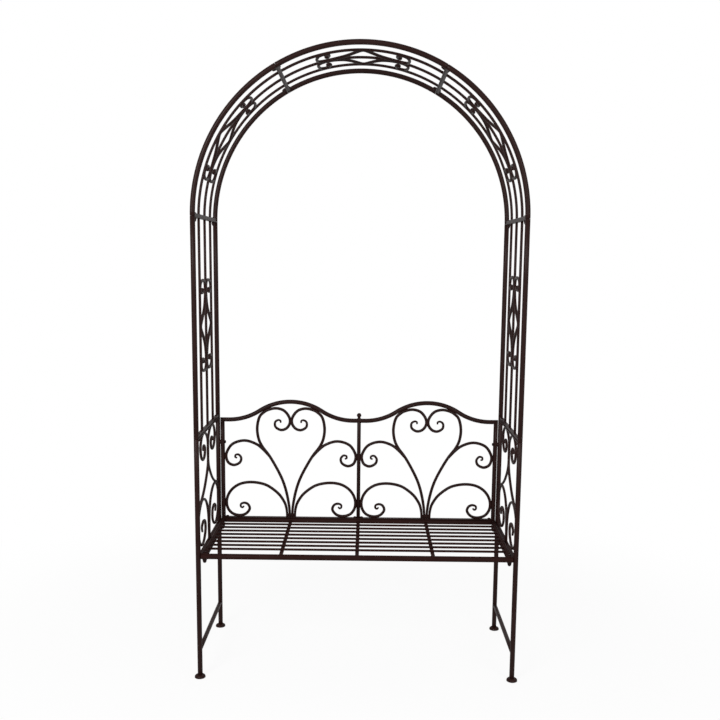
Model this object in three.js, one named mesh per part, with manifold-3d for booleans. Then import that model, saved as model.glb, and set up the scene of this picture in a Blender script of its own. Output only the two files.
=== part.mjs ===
// Garden arch bench: a round-headed steel arch of five bolted sections that stands on two bench sides,
// with a slatted seat and a scrolled backrest between them. Lengths are in millimetres.
// X runs along the seat, the front faces -Y, Z is up, and the origin is on the ground under the middle.
import * as THREE from "three";
import { mergeVertices } from "three/addons/utils/BufferGeometryUtils.js";
import Module from "manifold-3d";

const wasm = await Module();
wasm.setup();

// Main frame
const archWidth = 1070; // between the middle lines of the left and right posts
const frameDepth = 455; // between the middle lines of the front and rear tubes
const benchHeight = 832; // from the ground to the bolted joint on top of the bench sides
const springHeight = 1557; // from the ground to the bolted joint where the round arch starts
const tubeDiameter = 16;
const archSections = 3; // curved sections between the two spring joints

// Fits
const clearance = 0.3; // between pieces that touch
const holeClearance = 0.3; // all round a bolt in its hole
const weldDepth = 0.6; // how far welded bars run into each other
const overrun = 20; // how far a cutting solid runs past what it cuts
const mergeDistance = 1e-4;

// Joint bars, rods and ornaments of the arch
const jointBarSide = 10; // square bar on one side of every joint
const stripWidth = 16; // flat strip on the other side
const stripThickness = 3.5;
const rodDiameter = 8;
const rodSpacing = 113.75;
const ornamentLength = 317;
const ornamentDiameter = 8;
const jointBoltInset = 42; // from the middle line of a tube to the nearest bolt

// Bench sides
const footDiameter = 37;
const footEdge = 2.5;
const footHeight = 8;
const stretcherDiameter = 13;
const stretcherHeight = 98;
const ledgeHeight = 422; // top of the ledge that the seat lies on
const ledgeThickness = 4;
const sideScrollDiameter = 8;

// Seat
const seatEndGap = 2; // between the end of a seat rail and the post
const seatRailDiameter = 19;
const sideRailDiameter = 16;
const slatCount = 8;
const slatDiameter = 7;
const slatPitch = 44.2;
const slatRise = 4.2; // of the slats' middle lines above those of the rails
const crossBarWidth = 13;
const crossBarThickness = 4;
const crossBarPitch = 258.5;
const seatBoltInset = 22.5; // from the middle line of a seat rail to the bolt behind or before it

// Backrest
const backTubeDiameter = 15;
const centrePostDiameter = 13;
const backStripWidth = 16;
const backStripThickness = 3.5;
const shoulderDrop = 11; // of the level parts of the top rail below the joint on the bench sides
const shoulderLength = 24; // of the level part at either end of the top rail
const lobeRise = 70; // of a lobe's crest above the level parts
const valleyLength = 46; // of the level part in the middle of the top rail
const backScrollDiameter = 9;
const finialDiameter = 16;
const finialNeckDiameter = 9;
const finialRise = 22; // of the ball's middle above the middle line of the top rail there
const clipHeightShare = 0.772; // of the way from the foot of the backrest up to its shoulders
const clipSpacerDiameter = 12;
const clipHeadDiameter = 12;
const clipHeadHeight = 6;
const clipBite = 3; // how far a clip bolt runs past the middle of the rear post
const baseBoltInset = 15; // from the middle line of a side post to the base bolt beside it
const centreBoltOffset = 12.5; // from the middle of the backrest to the base bolts there
const baseHeadHeight = 5;
const baseHeadDiameter = 10;
const baseBoltDepth = 12; // how far a base bolt runs into the rear rail

// Bolts with cap nuts
const boltDiameter = 6;
const headDiameter = 11;
const headHeight = 3;
const headRim = 1;
const nutAcross = 12.5; // over the corners of the hexagon
const nutHexHeight = 6;
const nutHeight = 13.5;
const domeDiameter = 10;

// Facets
const tubeSides = 8;
const barSides = 6;
const boltSides = 6;
const nutSides = 6;
const footSides = 12;
const domeRings = 2;
const ballRings = 4;
const archSteps = 8;
const railSteps = 14;

// Places that follow from the sizes above
const archRadius = archWidth / 2;
const halfDepth = frameDepth / 2;
const tubeRadius = tubeDiameter / 2;
const postFace = archRadius - tubeRadius; // inner face of the posts
const crossFace = halfDepth - tubeRadius; // faces of the front and rear tubes towards each other
const sectionAngle = Math.PI / archSections;
const boltAcross = halfDepth - jointBoltInset;
const holeDiameter = boltDiameter + 2 * holeClearance;
const rodFlat = (rodDiameter / 2) * Math.cos(Math.PI / barSides); // reach of a rod's flat facets
const seatEnd = postFace - seatEndGap;
const seatRailRadius = seatRailDiameter / 2;
const sideRailRadius = sideRailDiameter / 2;
const sideRailPlace = seatEnd - sideRailRadius;
const seatMiddle = ledgeHeight + clearance + sideRailRadius; // height of the rails' middle lines
const seatBoltAcross = halfDepth - seatBoltInset;
const backStripBottom = seatMiddle + seatRailRadius + clearance;
const backStripTop = backStripBottom + backStripThickness;
const backBase = backStripTop + clearance;
const shoulderHeight = benchHeight - shoulderDrop;
const clipHeight = backBase + clipHeightShare * (shoulderHeight - backBase);
const backPostPlace = seatEnd - sideRailRadius;
const backPostFace = backPostPlace - backTubeDiameter / 2;
const heartPlace = (backPostFace + centrePostDiameter / 2) / 2; // middle line of a heart
const shoulderStart = backPostPlace - shoulderLength;

// Outlines. A row is a share of the reach from a scroll's inner side to its outer side, and a share of the
// height that it fills.
const sideCrestShares = [0.62, 0.437]; // the crest of a lower side scroll, where an upper one lies on it
const upperSideScrollShares = [
  [0.475, 0.838],
  [0.494, 0.872],
  [0.399, 0.895],
  [0.267, 0.861],
  [0.296, 0.805],
  [0.466, 0.787],
  [0.636, 0.82],
  [0.687, 0.895],
  [0.588, 0.972],
  [0.428, 1],
  [0.319, 1],
  [0.13, 0.964],
  [0, 0.897],
  [0, 0.692],
  [0.078, 0.628],
  [0.211, 0.564],
  [0.371, 0.502],
  sideCrestShares,
  [1.03, 0.379],
];
const lowerSideScrollShares = [
  [0, 0],
  [0, 0.05],
  [0.05, 0.25],
  [0.19, 0.36],
  [0.38, 0.418],
  sideCrestShares,
  [0.83, 0.395],
  [0.965, 0.32],
  [1, 0.24],
  [0.95, 0.155],
  [0.83, 0.085],
  [0.66, 0.056],
  [0.46, 0.08],
  [0.335, 0.15],
  [0.37, 0.22],
  [0.53, 0.244],
  [0.675, 0.21],
  [0.64, 0.168],
];
const heartShares = [
  [0, 0],
  [0, 0.021],
  [0.019, 0.106],
  [0.069, 0.245],
  [0.134, 0.362],
  [0.313, 0.564],
  [0.431, 0.682],
  [0.484, 0.764],
  [0.508, 0.87],
  [0.488, 0.953],
  [0.456, 0.987],
  [0.408, 0.996],
  [0.355, 1],
  [0.215, 0.988],
  [0.091, 0.948],
  [0, 0.883],
  [0, 0.833],
  [0.058, 0.792],
  [0.14, 0.786],
  [0.221, 0.823],
  [0.225, 0.866],
  [0.178, 0.878],
  [0.143, 0.868],
  [0.14, 0.853],
];
const upperBackScrollShares = [
  [0.313, 0.564],
  [0.412, 0.645],
  [0.519, 0.724],
  [0.709, 0.796],
  [0.898, 0.774],
  [0.985, 0.694],
  [1, 0.642],
  [0.966, 0.587],
  [0.865, 0.551],
  [0.783, 0.576],
  [0.764, 0.62],
  [0.804, 0.658],
  [0.851, 0.656],
  [0.857, 0.634],
  [0.834, 0.626],
];
const lowerBackScrollShares = [
  [0, 0],
  [0, 0.021],
  [0.022, 0.06],
  [0.048, 0.106],
  [0.08, 0.153],
  [0.137, 0.2],
  [0.227, 0.25],
  [0.366, 0.307],
  [0.579, 0.353],
  [0.758, 0.35],
  [0.886, 0.306],
  [0.969, 0.236],
  [1, 0.159],
  [0.98, 0.088],
  [0.91, 0.033],
  [0.788, 0.012],
  [0.686, 0.03],
  [0.625, 0.082],
  [0.651, 0.127],
  [0.711, 0.144],
  [0.765, 0.132],
  [0.769, 0.105],
  [0.739, 0.097],
];
// A row is a share of the way from the middle rod to the outer rod, and one of half the ornament's length.
const ornamentShares = [
  [1, 0],
  [1, 0.02],
  [0.22, 0.39],
  [0, 0.67],
  [0, 0.86],
  [0.2, 0.98],
  [0.6, 1],
  [0.92, 0.97],
  [1, 0.87],
  [0.9, 0.755],
  [0.68, 0.718],
  [0.47, 0.727],
  [0.41, 0.762],
  [0.5, 0.79],
];
// How far an ornament sits from the middle of its section, as a share of its length.
const ornamentShiftShares = {
  arch_left_upright: 0,
  arch_left_curve: -0.013,
  arch_crown: -0.016,
  arch_right_curve: 0.052,
  arch_right_upright: 0.058,
};

// Solids

// A closed geometry as a solid that can be joined and cut.
function solid(geometry) {
  geometry.deleteAttribute("normal");
  geometry.deleteAttribute("uv");
  const merged = mergeVertices(geometry, mergeDistance);
  const corners = merged.index.array;
  const kept = [];
  for (let i = 0; i < corners.length; i += 3) {
    const [a, b, c] = corners.slice(i, i + 3);
    if (a !== b && b !== c && c !== a) kept.push(a, b, c);
  }
  return new wasm.Manifold(
    new wasm.Mesh({
      numProp: 3,
      vertProperties: merged.attributes.position.array,
      triVerts: new Uint32Array(kept),
    }),
  );
}

function joined(solids) {
  return solids.reduce((whole, next) => whole.add(next));
}

function cut(whole, cutters) {
  return cutters.reduce((rest, cutter) => rest.subtract(cutter), whole);
}

// A regular polygon, drawn so that one corner lies in the plane of a flat path.
function polygon(diameter, sides) {
  const corners = [];
  for (let i = 0; i < sides; i++) {
    const angle = Math.PI / 2 + (2 * Math.PI * i) / sides;
    corners.push(new THREE.Vector2(Math.cos(angle), Math.sin(angle)).multiplyScalar(diameter / 2));
  }
  return new THREE.Shape(corners);
}

function barGeometry(path, diameter, sides, steps) {
  const settings = { steps, bevelEnabled: false, extrudePath: path };
  return new THREE.ExtrudeGeometry(polygon(diameter, sides), settings);
}

function barAlong(path, diameter, sides, steps) {
  return solid(barGeometry(path, diameter, sides, steps));
}

function straightBar(from, to, diameter, sides) {
  return barAlong(new THREE.LineCurve3(from, to), diameter, sides, 1);
}

function point(x, y, z) {
  return new THREE.Vector3(x, y, z);
}

// A box between two opposite corners.
function block(low, high) {
  const size = high.clone().sub(low);
  const middle = low.clone().add(high).divideScalar(2);
  const geometry = new THREE.BoxGeometry(size.x, size.y, size.z);
  return solid(geometry.translate(middle.x, middle.y, middle.z));
}

// A solid of revolution about Z from [radius, height] pairs, listed upwards from the axis back to the axis.
function turned(profile, sides) {
  const geometry = new THREE.LatheGeometry(
    profile.map(([radius, height]) => new THREE.Vector2(radius, height)),
    sides,
  );
  return geometry.rotateX(Math.PI / 2);
}

// Heights and radii of a low dome: a straight rim, then a quarter of an ellipse up to the axis.
function domeProfile(radius, rim, height) {
  const profile = [[0, 0], [radius, 0]];
  for (let i = 0; i < domeRings; i++) {
    const angle = (Math.PI / 2) * (i / domeRings);
    profile.push([radius * Math.cos(angle), rim + (height - rim) * Math.sin(angle)]);
  }
  profile.push([0, height]);
  return profile;
}

// A path given by a function of a share from 0 to 1, which also spaces the steps along it.
class Route extends THREE.Curve {
  constructor(at) {
    super();
    this.at = at;
  }

  getPoint(share, target = new THREE.Vector3()) {
    return target.copy(this.at(share));
  }

  getUtoTmapping(share) {
    return share;
  }
}

// A bar bent through points, with one step from each point to the next. Where the points are drawn in a
// plane of their own, `lay` takes each spot of the curve to its place.
function bentBar(points, diameter, lay = (spot) => spot) {
  const curve = new THREE.CatmullRomCurve3(points, false, "centripetal");
  const route = new Route((share) => lay(curve.getPoint(share)));
  return barAlong(route, diameter, barSides, points.length - 1);
}

// The group

const paint = { color: 0x35282a, roughness: 0.5, metalness: 0.3 };
const boltPaint = { color: 0x2a2324, roughness: 0.4, metalness: 0.5 };
const whole = new THREE.Group();

function addPiece(group, name, shape, finish = paint) {
  const mesh = shape.getMesh();
  const geometry = new THREE.BufferGeometry();
  geometry.setAttribute("position", new THREE.BufferAttribute(mesh.vertProperties, 3));
  geometry.setIndex(new THREE.BufferAttribute(mesh.triVerts, 1));
  geometry.computeVertexNormals();
  const piece = new THREE.Mesh(geometry, new THREE.MeshStandardMaterial(finish));
  piece.name = name;
  group.add(piece);
  return piece;
}

function addGroup(parent, x, y, z, turn = 0) {
  const group = new THREE.Group();
  group.position.set(x, y, z);
  group.rotation.y = turn;
  parent.add(group);
  return group;
}

const hands = [
  ["left", -1],
  ["right", 1],
];
const ends = [
  ["front", -1],
  ["rear", 1],
];

// Arch sections. A place in a section is given along its middle line from its middle, across it
// towards the rear, and outwards from its face.

function straightPlace(along, across, out) {
  return point(out, across, along);
}

function bentPlace(along, across, out) {
  const angle = along / archRadius;
  const radius = archRadius + out;
  return point(-radius * Math.sin(angle), across, radius * Math.cos(angle));
}

// Turns a solid drawn at the origin, with Z onward and X outward, into its station in a section.
function stationed(geometry, place, along) {
  const origin = place(along, 0, 0);
  const out = place(along, 0, 1).sub(origin);
  const across = point(0, 1, 0);
  const onward = new THREE.Vector3().crossVectors(out, across);
  const station = new THREE.Matrix4().makeBasis(out, across, onward);
  return solid(geometry.applyMatrix4(station.setPosition(origin)));
}

function sectionBar(place, length, across, diameter, sides) {
  const steps = place === bentPlace ? archSteps : 1;
  const route = new Route((share) => place((share - 1 / 2) * length, across, 0));
  return barAlong(route, diameter, sides, steps);
}

function endBar(place, length, end, kind) {
  const thickness = kind === "square" ? jointBarSide : stripThickness;
  const width = kind === "square" ? jointBarSide : stripWidth;
  const reach = 2 * (crossFace - clearance);
  const along = end * (length / 2 - clearance / 2 - thickness / 2);
  return stationed(new THREE.BoxGeometry(width, reach, thickness), place, along);
}

function jointHole(place, length, end, side) {
  const axis = [-overrun, overrun].map((height) => point(0, side * boltAcross, height));
  const drill = barGeometry(new THREE.LineCurve3(...axis), holeDiameter, boltSides, 1);
  return stationed(drill, place, (end * length) / 2);
}

// One ornament bar: from a hooked end along the middle rod, out to a sharp bend at the outer rod, and back
// the same way to its other end. It is welded to the outer rod and lies beside the middle one.
function ornamentBar(place, side, shift) {
  const bars = rodFlat + ornamentDiameter / 2;
  const near = bars + clearance;
  const far = rodSpacing - bars + weldDepth;
  const half = (ornamentLength - ornamentDiameter) / 2;
  const mirrored = ornamentShares.map(([across, along]) => [across, -along]);
  const rows = [...mirrored.reverse(), ...ornamentShares.slice(1)];
  const points = rows.map(([across, along]) =>
    point(shift + along * half, side * (near + across * (far - near)), 0),
  );
  return bentBar(points, ornamentDiameter, (spot) => place(spot.x, spot.y, spot.z));
}

// The welded panel of one section: end bars, three rods and the ornament.
function sectionPanel(place, length, startKind, endKind, shift) {
  const parts = [endBar(place, length, -1, startKind), endBar(place, length, 1, endKind)];
  for (const row of [-1, 0, 1])
    parts.push(sectionBar(place, length - stripThickness, row * rodSpacing, rodDiameter, barSides));
  for (const side of [-1, 1]) parts.push(ornamentBar(place, side, shift));
  const holes = [];
  for (const side of [-1, 1])
    for (const end of [-1, 1]) holes.push(jointHole(place, length, end, side));
  return cut(joined(parts), holes);
}

function addSection(group, name, place, length, startKind, endKind) {
  const tube = sectionBar(place, length - clearance, 0, tubeDiameter, tubeSides);
  for (const [end, side] of ends)
    addPiece(group, `${name}_${end}_tube`, tube).position.y = side * halfDepth;
  const shift = ornamentLength * ornamentShiftShares[name];
  addPiece(group, `${name}_panel`, sectionPanel(place, length, startKind, endKind, shift));
}

function addArch() {
  const uprightLength = springHeight - benchHeight;
  for (const [hand, side] of hands) {
    const upright = addGroup(whole, side * archRadius, 0, benchHeight + uprightLength / 2);
    addSection(upright, `arch_${hand}_upright`, straightPlace, uprightLength, "square", "strip");
  }
  const curveLength = archRadius * sectionAngle;
  const curves = [
    ["arch_right_curve", sectionAngle, "square", "square"],
    ["arch_crown", 0, "strip", "square"],
    ["arch_left_curve", -sectionAngle, "strip", "square"],
  ];
  for (const [name, turn, startKind, endKind] of curves) {
    const section = addGroup(whole, 0, 0, springHeight, turn);
    addSection(section, name, bentPlace, curveLength, startKind, endKind);
  }
}

// Bolts. Each stands on Z with its head up; the nut's face and the head's face lie where they are told.

function boltShank(low, high) {
  return straightBar(point(0, 0, low), point(0, 0, high), boltDiameter, boltSides);
}

function capNut(face) {
  const hexagon = new THREE.CylinderGeometry(nutAcross / 2, nutAcross / 2, nutHexHeight, nutSides);
  hexagon.rotateX(Math.PI / 2).translate(0, 0, face - nutHexHeight / 2);
  const dome = turned(domeProfile(domeDiameter / 2, nutHexHeight, nutHeight), boltSides);
  return solid(hexagon).add(solid(dome.rotateX(Math.PI).translate(0, 0, face)));
}

function boltHead(face, diameter, rim, height) {
  const dome = turned(domeProfile(diameter / 2, rim, height), boltSides);
  return solid(dome.translate(0, 0, face));
}

function capNutBolt(nutFace, headFace) {
  const shank = boltShank(nutFace - nutHexHeight / 2, headFace + headRim / 2);
  return joined([shank, capNut(nutFace), boltHead(headFace, headDiameter, headRim, headHeight)]);
}

function addJointBolts() {
  const nutFace = -clearance / 2 - stripThickness - clearance;
  const headFace = clearance / 2 + jointBarSide + clearance;
  const bolt = capNutBolt(nutFace, headFace);
  const joints = [];
  for (const [hand, side] of hands) {
    joints.push([`bench_${hand}`, addGroup(whole, side * archRadius, 0, benchHeight)]);
    joints.push([`spring_${hand}`, addGroup(whole, side * archRadius, 0, springHeight)]);
    const lean = side * (Math.PI / 2 - sectionAngle);
    const x = archRadius * Math.sin(lean);
    const z = springHeight + archRadius * Math.cos(lean);
    joints.push([`crown_${hand}`, addGroup(whole, x, 0, z, Math.PI / 2 + lean)]);
  }
  for (const [place, joint] of joints)
    for (const [end, side] of ends)
      addPiece(joint, `${place}_${end}_joint_bolt`, bolt, boltPaint).position.y = side * boltAcross;
}

// Bench sides. X is measured from the plane of the posts, and `inward` is the direction of the seat.

function foot() {
  const profile = [[0, 0], [footDiameter / 2, 0], [footDiameter / 2, footEdge]];
  profile.push([tubeRadius + clearance, footHeight], [0, footHeight]);
  return solid(turned(profile, footSides));
}

function post(side, padding = 0) {
  const low = point(0, side * halfDepth, footHeight + clearance);
  const high = point(0, side * halfDepth, benchHeight - clearance / 2);
  return straightBar(low, high, tubeDiameter + 2 * padding, tubeSides);
}

function stretcher() {
  const from = point(0, -halfDepth, stretcherHeight);
  const to = point(0, halfDepth, stretcherHeight);
  const bar = straightBar(from, to, stretcherDiameter, tubeSides);
  return cut(bar, [post(-1, clearance), post(1, clearance)]);
}

// The flat ledge: its inner corners stop short of the seat rails, which pass over them.
function ledge(inward) {
  const seatSide = inward * (archRadius - sideRailPlace + sideRailRadius);
  const outer = -inward * tubeRadius;
  const notchEdge = inward * (archRadius - seatEnd - clearance);
  const reach = crossFace - clearance;
  const low = point(Math.min(seatSide, outer), -reach, ledgeHeight - ledgeThickness);
  const high = point(Math.max(seatSide, outer), reach, ledgeHeight);
  const cutters = [];
  for (const side of [-1, 1]) {
    const inner = side * (halfDepth - seatRailRadius - clearance);
    const far = notchEdge + inward * archRadius;
    cutters.push(
      block(
        point(Math.min(notchEdge, far), Math.min(inner, side * frameDepth), low.z - overrun),
        point(Math.max(notchEdge, far), Math.max(inner, side * frameDepth), high.z + overrun),
      ),
    );
    const bolt = inward * (archRadius - sideRailPlace);
    cutters.push(uprightHole(bolt, side * seatBoltAcross, low.z - overrun, high.z + overrun));
  }
  return cut(block(low, high), cutters);
}

function uprightHole(x, y, low, high) {
  return straightBar(point(x, y, low), point(x, y, high), holeDiameter, boltSides);
}

// One scroll of a panel. Its shares run from `near` to `far` on one side of the middle line, and `place`
// takes a point's reach across and its share of the height to its place.
function scroll(shares, side, near, far, diameter, place) {
  const points = shares.map(([across, up]) => place(side * (near + across * (far - near)), up));
  return bentBar(points, diameter);
}

// Four scrolls welded to each other and to the top strip, standing on the ledge. The upper two lie on the
// crests of the lower two and end at the posts.
function sideScrolls() {
  const radius = sideScrollDiameter / 2;
  const stripTop = benchHeight - clearance / 2;
  const stripBottom = stripTop - stripThickness;
  const reach = crossFace - clearance;
  const halfWidth = stripWidth / 2;
  const parts = [block(point(-halfWidth, -reach, stripBottom), point(halfWidth, reach, stripTop))];
  const near = radius - weldDepth;
  const low = ledgeHeight + clearance;
  const high = stripBottom - radius + weldDepth;
  const upperLow = low + (sideScrollDiameter - weldDepth) / (1 - sideCrestShares[1]);
  const rows = [
    [lowerSideScrollShares, low],
    [upperSideScrollShares, upperLow],
  ];
  for (const [shares, start] of rows) {
    const place = (across, up) => point(0, across, start + up * (high - start));
    for (const side of [-1, 1])
      parts.push(scroll(shares, side, near, reach - radius, sideScrollDiameter, place));
  }
  const holes = [-1, 1].map((side) =>
    uprightHole(0, side * boltAcross, stripBottom - overrun, stripTop + overrun),
  );
  return cut(joined(parts), [...holes, post(-1, clearance), post(1, clearance)]);
}

function addBenchSides() {
  const scrolls = sideScrolls();
  for (const [hand, side] of hands) {
    const group = addGroup(whole, side * archRadius, 0, 0);
    for (const [end, place] of ends) {
      addPiece(group, `${hand}_${end}_foot`, foot()).position.y = place * halfDepth;
      const hole = end === "rear" ? [clipHole(side)] : [];
      addPiece(group, `${hand}_${end}_post`, cut(post(place), hole));
    }
    addPiece(group, `${hand}_stretcher`, stretcher());
    addPiece(group, `${hand}_seat_ledge`, ledge(-side));
    addPiece(group, `${hand}_side_scrolls`, scrolls);
  }
}

// The blind hole for a clip bolt in a rear post, from its inner side.
function clipHole(side) {
  const from = point(-side * (tubeRadius + overrun), halfDepth, clipHeight);
  const to = point(side * (clipBite + clearance), halfDepth, clipHeight);
  return straightBar(from, to, holeDiameter, boltSides);
}

// Seat

function seatRail(side, padding = 0) {
  const from = point(-seatEnd, side * halfDepth, seatMiddle);
  const to = point(seatEnd, side * halfDepth, seatMiddle);
  return straightBar(from, to, seatRailDiameter + 2 * padding, tubeSides);
}

function sideRail(side, padding = 0) {
  const from = point(side * sideRailPlace, -halfDepth, seatMiddle);
  const to = point(side * sideRailPlace, halfDepth, seatMiddle);
  return straightBar(from, to, sideRailDiameter + 2 * padding, tubeSides);
}

// Holes in the rear rail for the bolts of the backrest.
function baseHoles() {
  const bottom = seatMiddle + seatRailRadius - baseBoltDepth - clearance;
  return baseBoltPlaces().map((x) => uprightHole(x, halfDepth, bottom, backStripTop + overrun));
}

// Eight round slats welded on three flat cross bars.
function slats() {
  const parts = [];
  const height = seatMiddle + slatRise;
  const outermost = ((slatCount - 1) / 2) * slatPitch;
  for (let i = 0; i < slatCount; i++) {
    const y = i * slatPitch - outermost;
    const from = point(-sideRailPlace, y, height);
    parts.push(straightBar(from, point(sideRailPlace, y, height), slatDiameter, barSides));
  }
  const top = height - slatDiameter / 2 + weldDepth;
  for (const row of [-1, 0, 1]) {
    const x = row * crossBarPitch;
    const low = point(x - crossBarWidth / 2, -halfDepth, top - crossBarThickness);
    parts.push(block(low, point(x + crossBarWidth / 2, halfDepth, top)));
  }
  const rails = [-1, 1].flatMap((side) => [seatRail(side, clearance), sideRail(side, clearance)]);
  return cut(joined(parts), rails);
}

function addSeat() {
  const seat = addGroup(whole, 0, 0, 0);
  addPiece(seat, "seat_front_rail", seatRail(-1));
  addPiece(seat, "seat_rear_rail", cut(seatRail(1), baseHoles()));
  for (const [hand, side] of hands) {
    const cutters = [seatRail(-1, clearance), seatRail(1, clearance)];
    for (const end of [-1, 1]) {
      const low = seatMiddle - sideRailRadius - overrun;
      const high = seatMiddle + sideRailRadius + overrun;
      cutters.push(uprightHole(side * sideRailPlace, end * seatBoltAcross, low, high));
    }
    addPiece(seat, `seat_${hand}_rail`, cut(sideRail(side), cutters));
  }
  addPiece(seat, "seat_slats", slats());
}

function addSeatBolts() {
  const nutFace = ledgeHeight - ledgeThickness - clearance;
  const bolt = capNutBolt(nutFace, seatMiddle + sideRailRadius + clearance);
  for (const [hand, side] of hands)
    for (const [end, place] of ends) {
      const piece = addPiece(whole, `seat_${hand}_${end}_bolt`, bolt, boltPaint);
      piece.position.set(side * sideRailPlace, place * seatBoltAcross, 0);
    }
}

// Backrest. Its pieces are drawn in the plane Y = 0 and moved back over the rear rail as a group.

// Height of the top rail's middle line at a distance from the middle of the backrest, or of a line that
// runs parallel to it, `under` it. Each side of a lobe is two equal arcs: one under the crest, and one that
// runs out into the level part.
function railHeight(distance, under = 0) {
  const run = distance < heartPlace ? heartPlace - valleyLength / 2 : shoulderStart - heartPlace;
  const radius = (run ** 2 + lobeRise ** 2) / (4 * lobeRise);
  const fromCrest = Math.abs(distance - heartPlace);
  const fromLevel = Math.max(run - fromCrest, 0);
  const crestReach = ((run / 2) * (radius - under)) / radius;
  return fromCrest < crestReach
    ? shoulderHeight + lobeRise - radius + Math.sqrt((radius - under) ** 2 - fromCrest ** 2)
    : shoulderHeight + radius - Math.sqrt((radius + under) ** 2 - fromLevel ** 2);
}

function topRail(side, padding = 0) {
  const reach = backPostPlace + backTubeDiameter;
  const route = new Route((share) => point(side * share * reach, 0, railHeight(share * reach)));
  return barAlong(route, backTubeDiameter + 2 * padding, boltSides, railSteps);
}

function backPost(side, padding = 0) {
  const low = point(side * backPostPlace, 0, backBase);
  const high = point(side * backPostPlace, 0, shoulderHeight + backTubeDiameter);
  return straightBar(low, high, backTubeDiameter + 2 * padding, tubeSides);
}

// The solid on one face of the mitre between the top rail and a side post.
function mitre(side, face) {
  const size = 2 * backTubeDiameter;
  const geometry = new THREE.BoxGeometry(2 * size, size, size);
  geometry.translate(0, 0, face * ((size - clearance) / 2));
  geometry.rotateY((-side * Math.PI) / 4);
  return solid(geometry.translate(side * backPostPlace, 0, shoulderHeight));
}

// The centre post, turned with a neck and a ball on top.
function centrePost(padding = 0) {
  const radius = centrePostDiameter / 2 + padding;
  const ballMiddle = railHeight(0) + finialRise;
  const ball = finialDiameter / 2;
  const neck = finialNeckDiameter / 2;
  const neckAngle = Math.asin(neck / ball);
  const neckTop = ballMiddle - ball * Math.cos(neckAngle);
  const profile = [[0, backBase], [radius, backBase], [radius, neckTop - neck], [neck, neckTop]];
  for (let i = 1; i < ballRings; i++) {
    const angle = neckAngle + ((Math.PI - neckAngle) * i) / ballRings;
    profile.push([ball * Math.sin(angle), ballMiddle - ball * Math.cos(angle)]);
  }
  profile.push([0, ballMiddle + ball]);
  return solid(turned(profile, tubeSides));
}

function baseBoltPlaces() {
  const outer = backPostPlace - baseBoltInset;
  return [-outer, -centreBoltOffset, centreBoltOffset, outer];
}

function bottomStrip() {
  const halfLength = backPostPlace + backTubeDiameter / 2;
  const halfWidth = backStripWidth / 2;
  const low = point(-halfLength, -halfWidth, backStripBottom);
  const parts = [block(low, point(halfLength, halfWidth, backStripTop))];
  const depth = seatMiddle + seatRailRadius - baseBoltDepth;
  for (const x of baseBoltPlaces()) {
    const face = backStripTop - weldDepth;
    const head = boltHead(face, baseHeadDiameter, headRim, baseHeadHeight + weldDepth);
    parts.push(head.add(boltShank(depth, backStripTop)).translate(x, 0, 0));
  }
  return joined(parts);
}

// A heart of two bent bars with two scrolls on either side of it, welded into one panel. Heights are
// shares of the way up to a bar that lies close under the top rail.
function backScrolls(side) {
  const radius = backScrollDiameter / 2;
  const near = radius - weldDepth;
  const far = heartPlace - centrePostDiameter / 2 - clearance - radius;
  const second = near + backScrollDiameter - weldDepth;
  const under = backTubeDiameter / 2 + clearance + radius;
  const place = (across, up) => {
    const x = side * heartPlace + across;
    return point(x, 0, backBase + up * (railHeight(Math.abs(x), under) - backBase));
  };
  const rows = [
    [heartShares, near],
    [upperBackScrollShares, near],
    [lowerBackScrollShares, second],
  ];
  const parts = [];
  for (const [shares, from] of rows)
    for (const half of [-1, 1])
      parts.push(scroll(shares, half, from, far, backScrollDiameter, place));
  const low = point(side * heartPlace - heartPlace, -overrun, backStripTop - overrun);
  const high = point(side * heartPlace + heartPlace, overrun, backBase);
  return cut(joined(parts), [
    topRail(side, clearance),
    backPost(side, clearance),
    centrePost(clearance),
    block(low, high),
  ]);
}

// A bolt through a side post into the rear post, with the saddle that keeps the two apart.
function clipBolt(side) {
  const head = boltHead(0, clipHeadDiameter, headRim, clipHeadHeight);
  const headFace = backPostFace - clearance;
  const bite = archRadius + clipBite;
  const axis = (x) => point(x, 0, clipHeight);
  const shank = straightBar(axis(headFace - headRim), axis(bite), boltDiameter, boltSides);
  const saddle = cut(straightBar(axis(backPostPlace), axis(archRadius), clipSpacerDiameter, tubeSides), [
    backPost(1, clearance),
    post(0, clearance).translate(archRadius, 0, 0),
  ]);
  const bolt = joined([head.rotate([0, -90, 0]).translate(headFace, 0, clipHeight), shank, saddle]);
  return side > 0 ? bolt : bolt.rotate([0, 0, 180]);
}

function addBackrest() {
  const back = addGroup(whole, 0, halfDepth, 0);
  for (const [hand, side] of hands) {
    const rail = cut(topRail(side), [mitre(side, -1), centrePost(clearance)]);
    addPiece(back, `back_top_rail_${hand}`, rail);
    const from = point(side * (backPostFace - overrun), 0, clipHeight);
    const to = point(side * archRadius, 0, clipHeight);
    const hole = straightBar(from, to, holeDiameter, boltSides);
    addPiece(back, `back_${hand}_post`, cut(backPost(side), [mitre(side, 1), hole]));
    addPiece(back, `back_scrolls_${hand}`, backScrolls(side));
    addPiece(back, `back_${hand}_clip_bolt`, clipBolt(side), boltPaint);
  }
  addPiece(back, "back_centre_post", centrePost());
  addPiece(back, "back_bottom_strip", bottomStrip());
}

addBenchSides();
addSeat();
addSeatBolts();
addBackrest();
addArch();
addJointBolts();

export default whole;
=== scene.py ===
import math

import bmesh
import bpy
import numpy as np
from mathutils import Matrix, Vector


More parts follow.
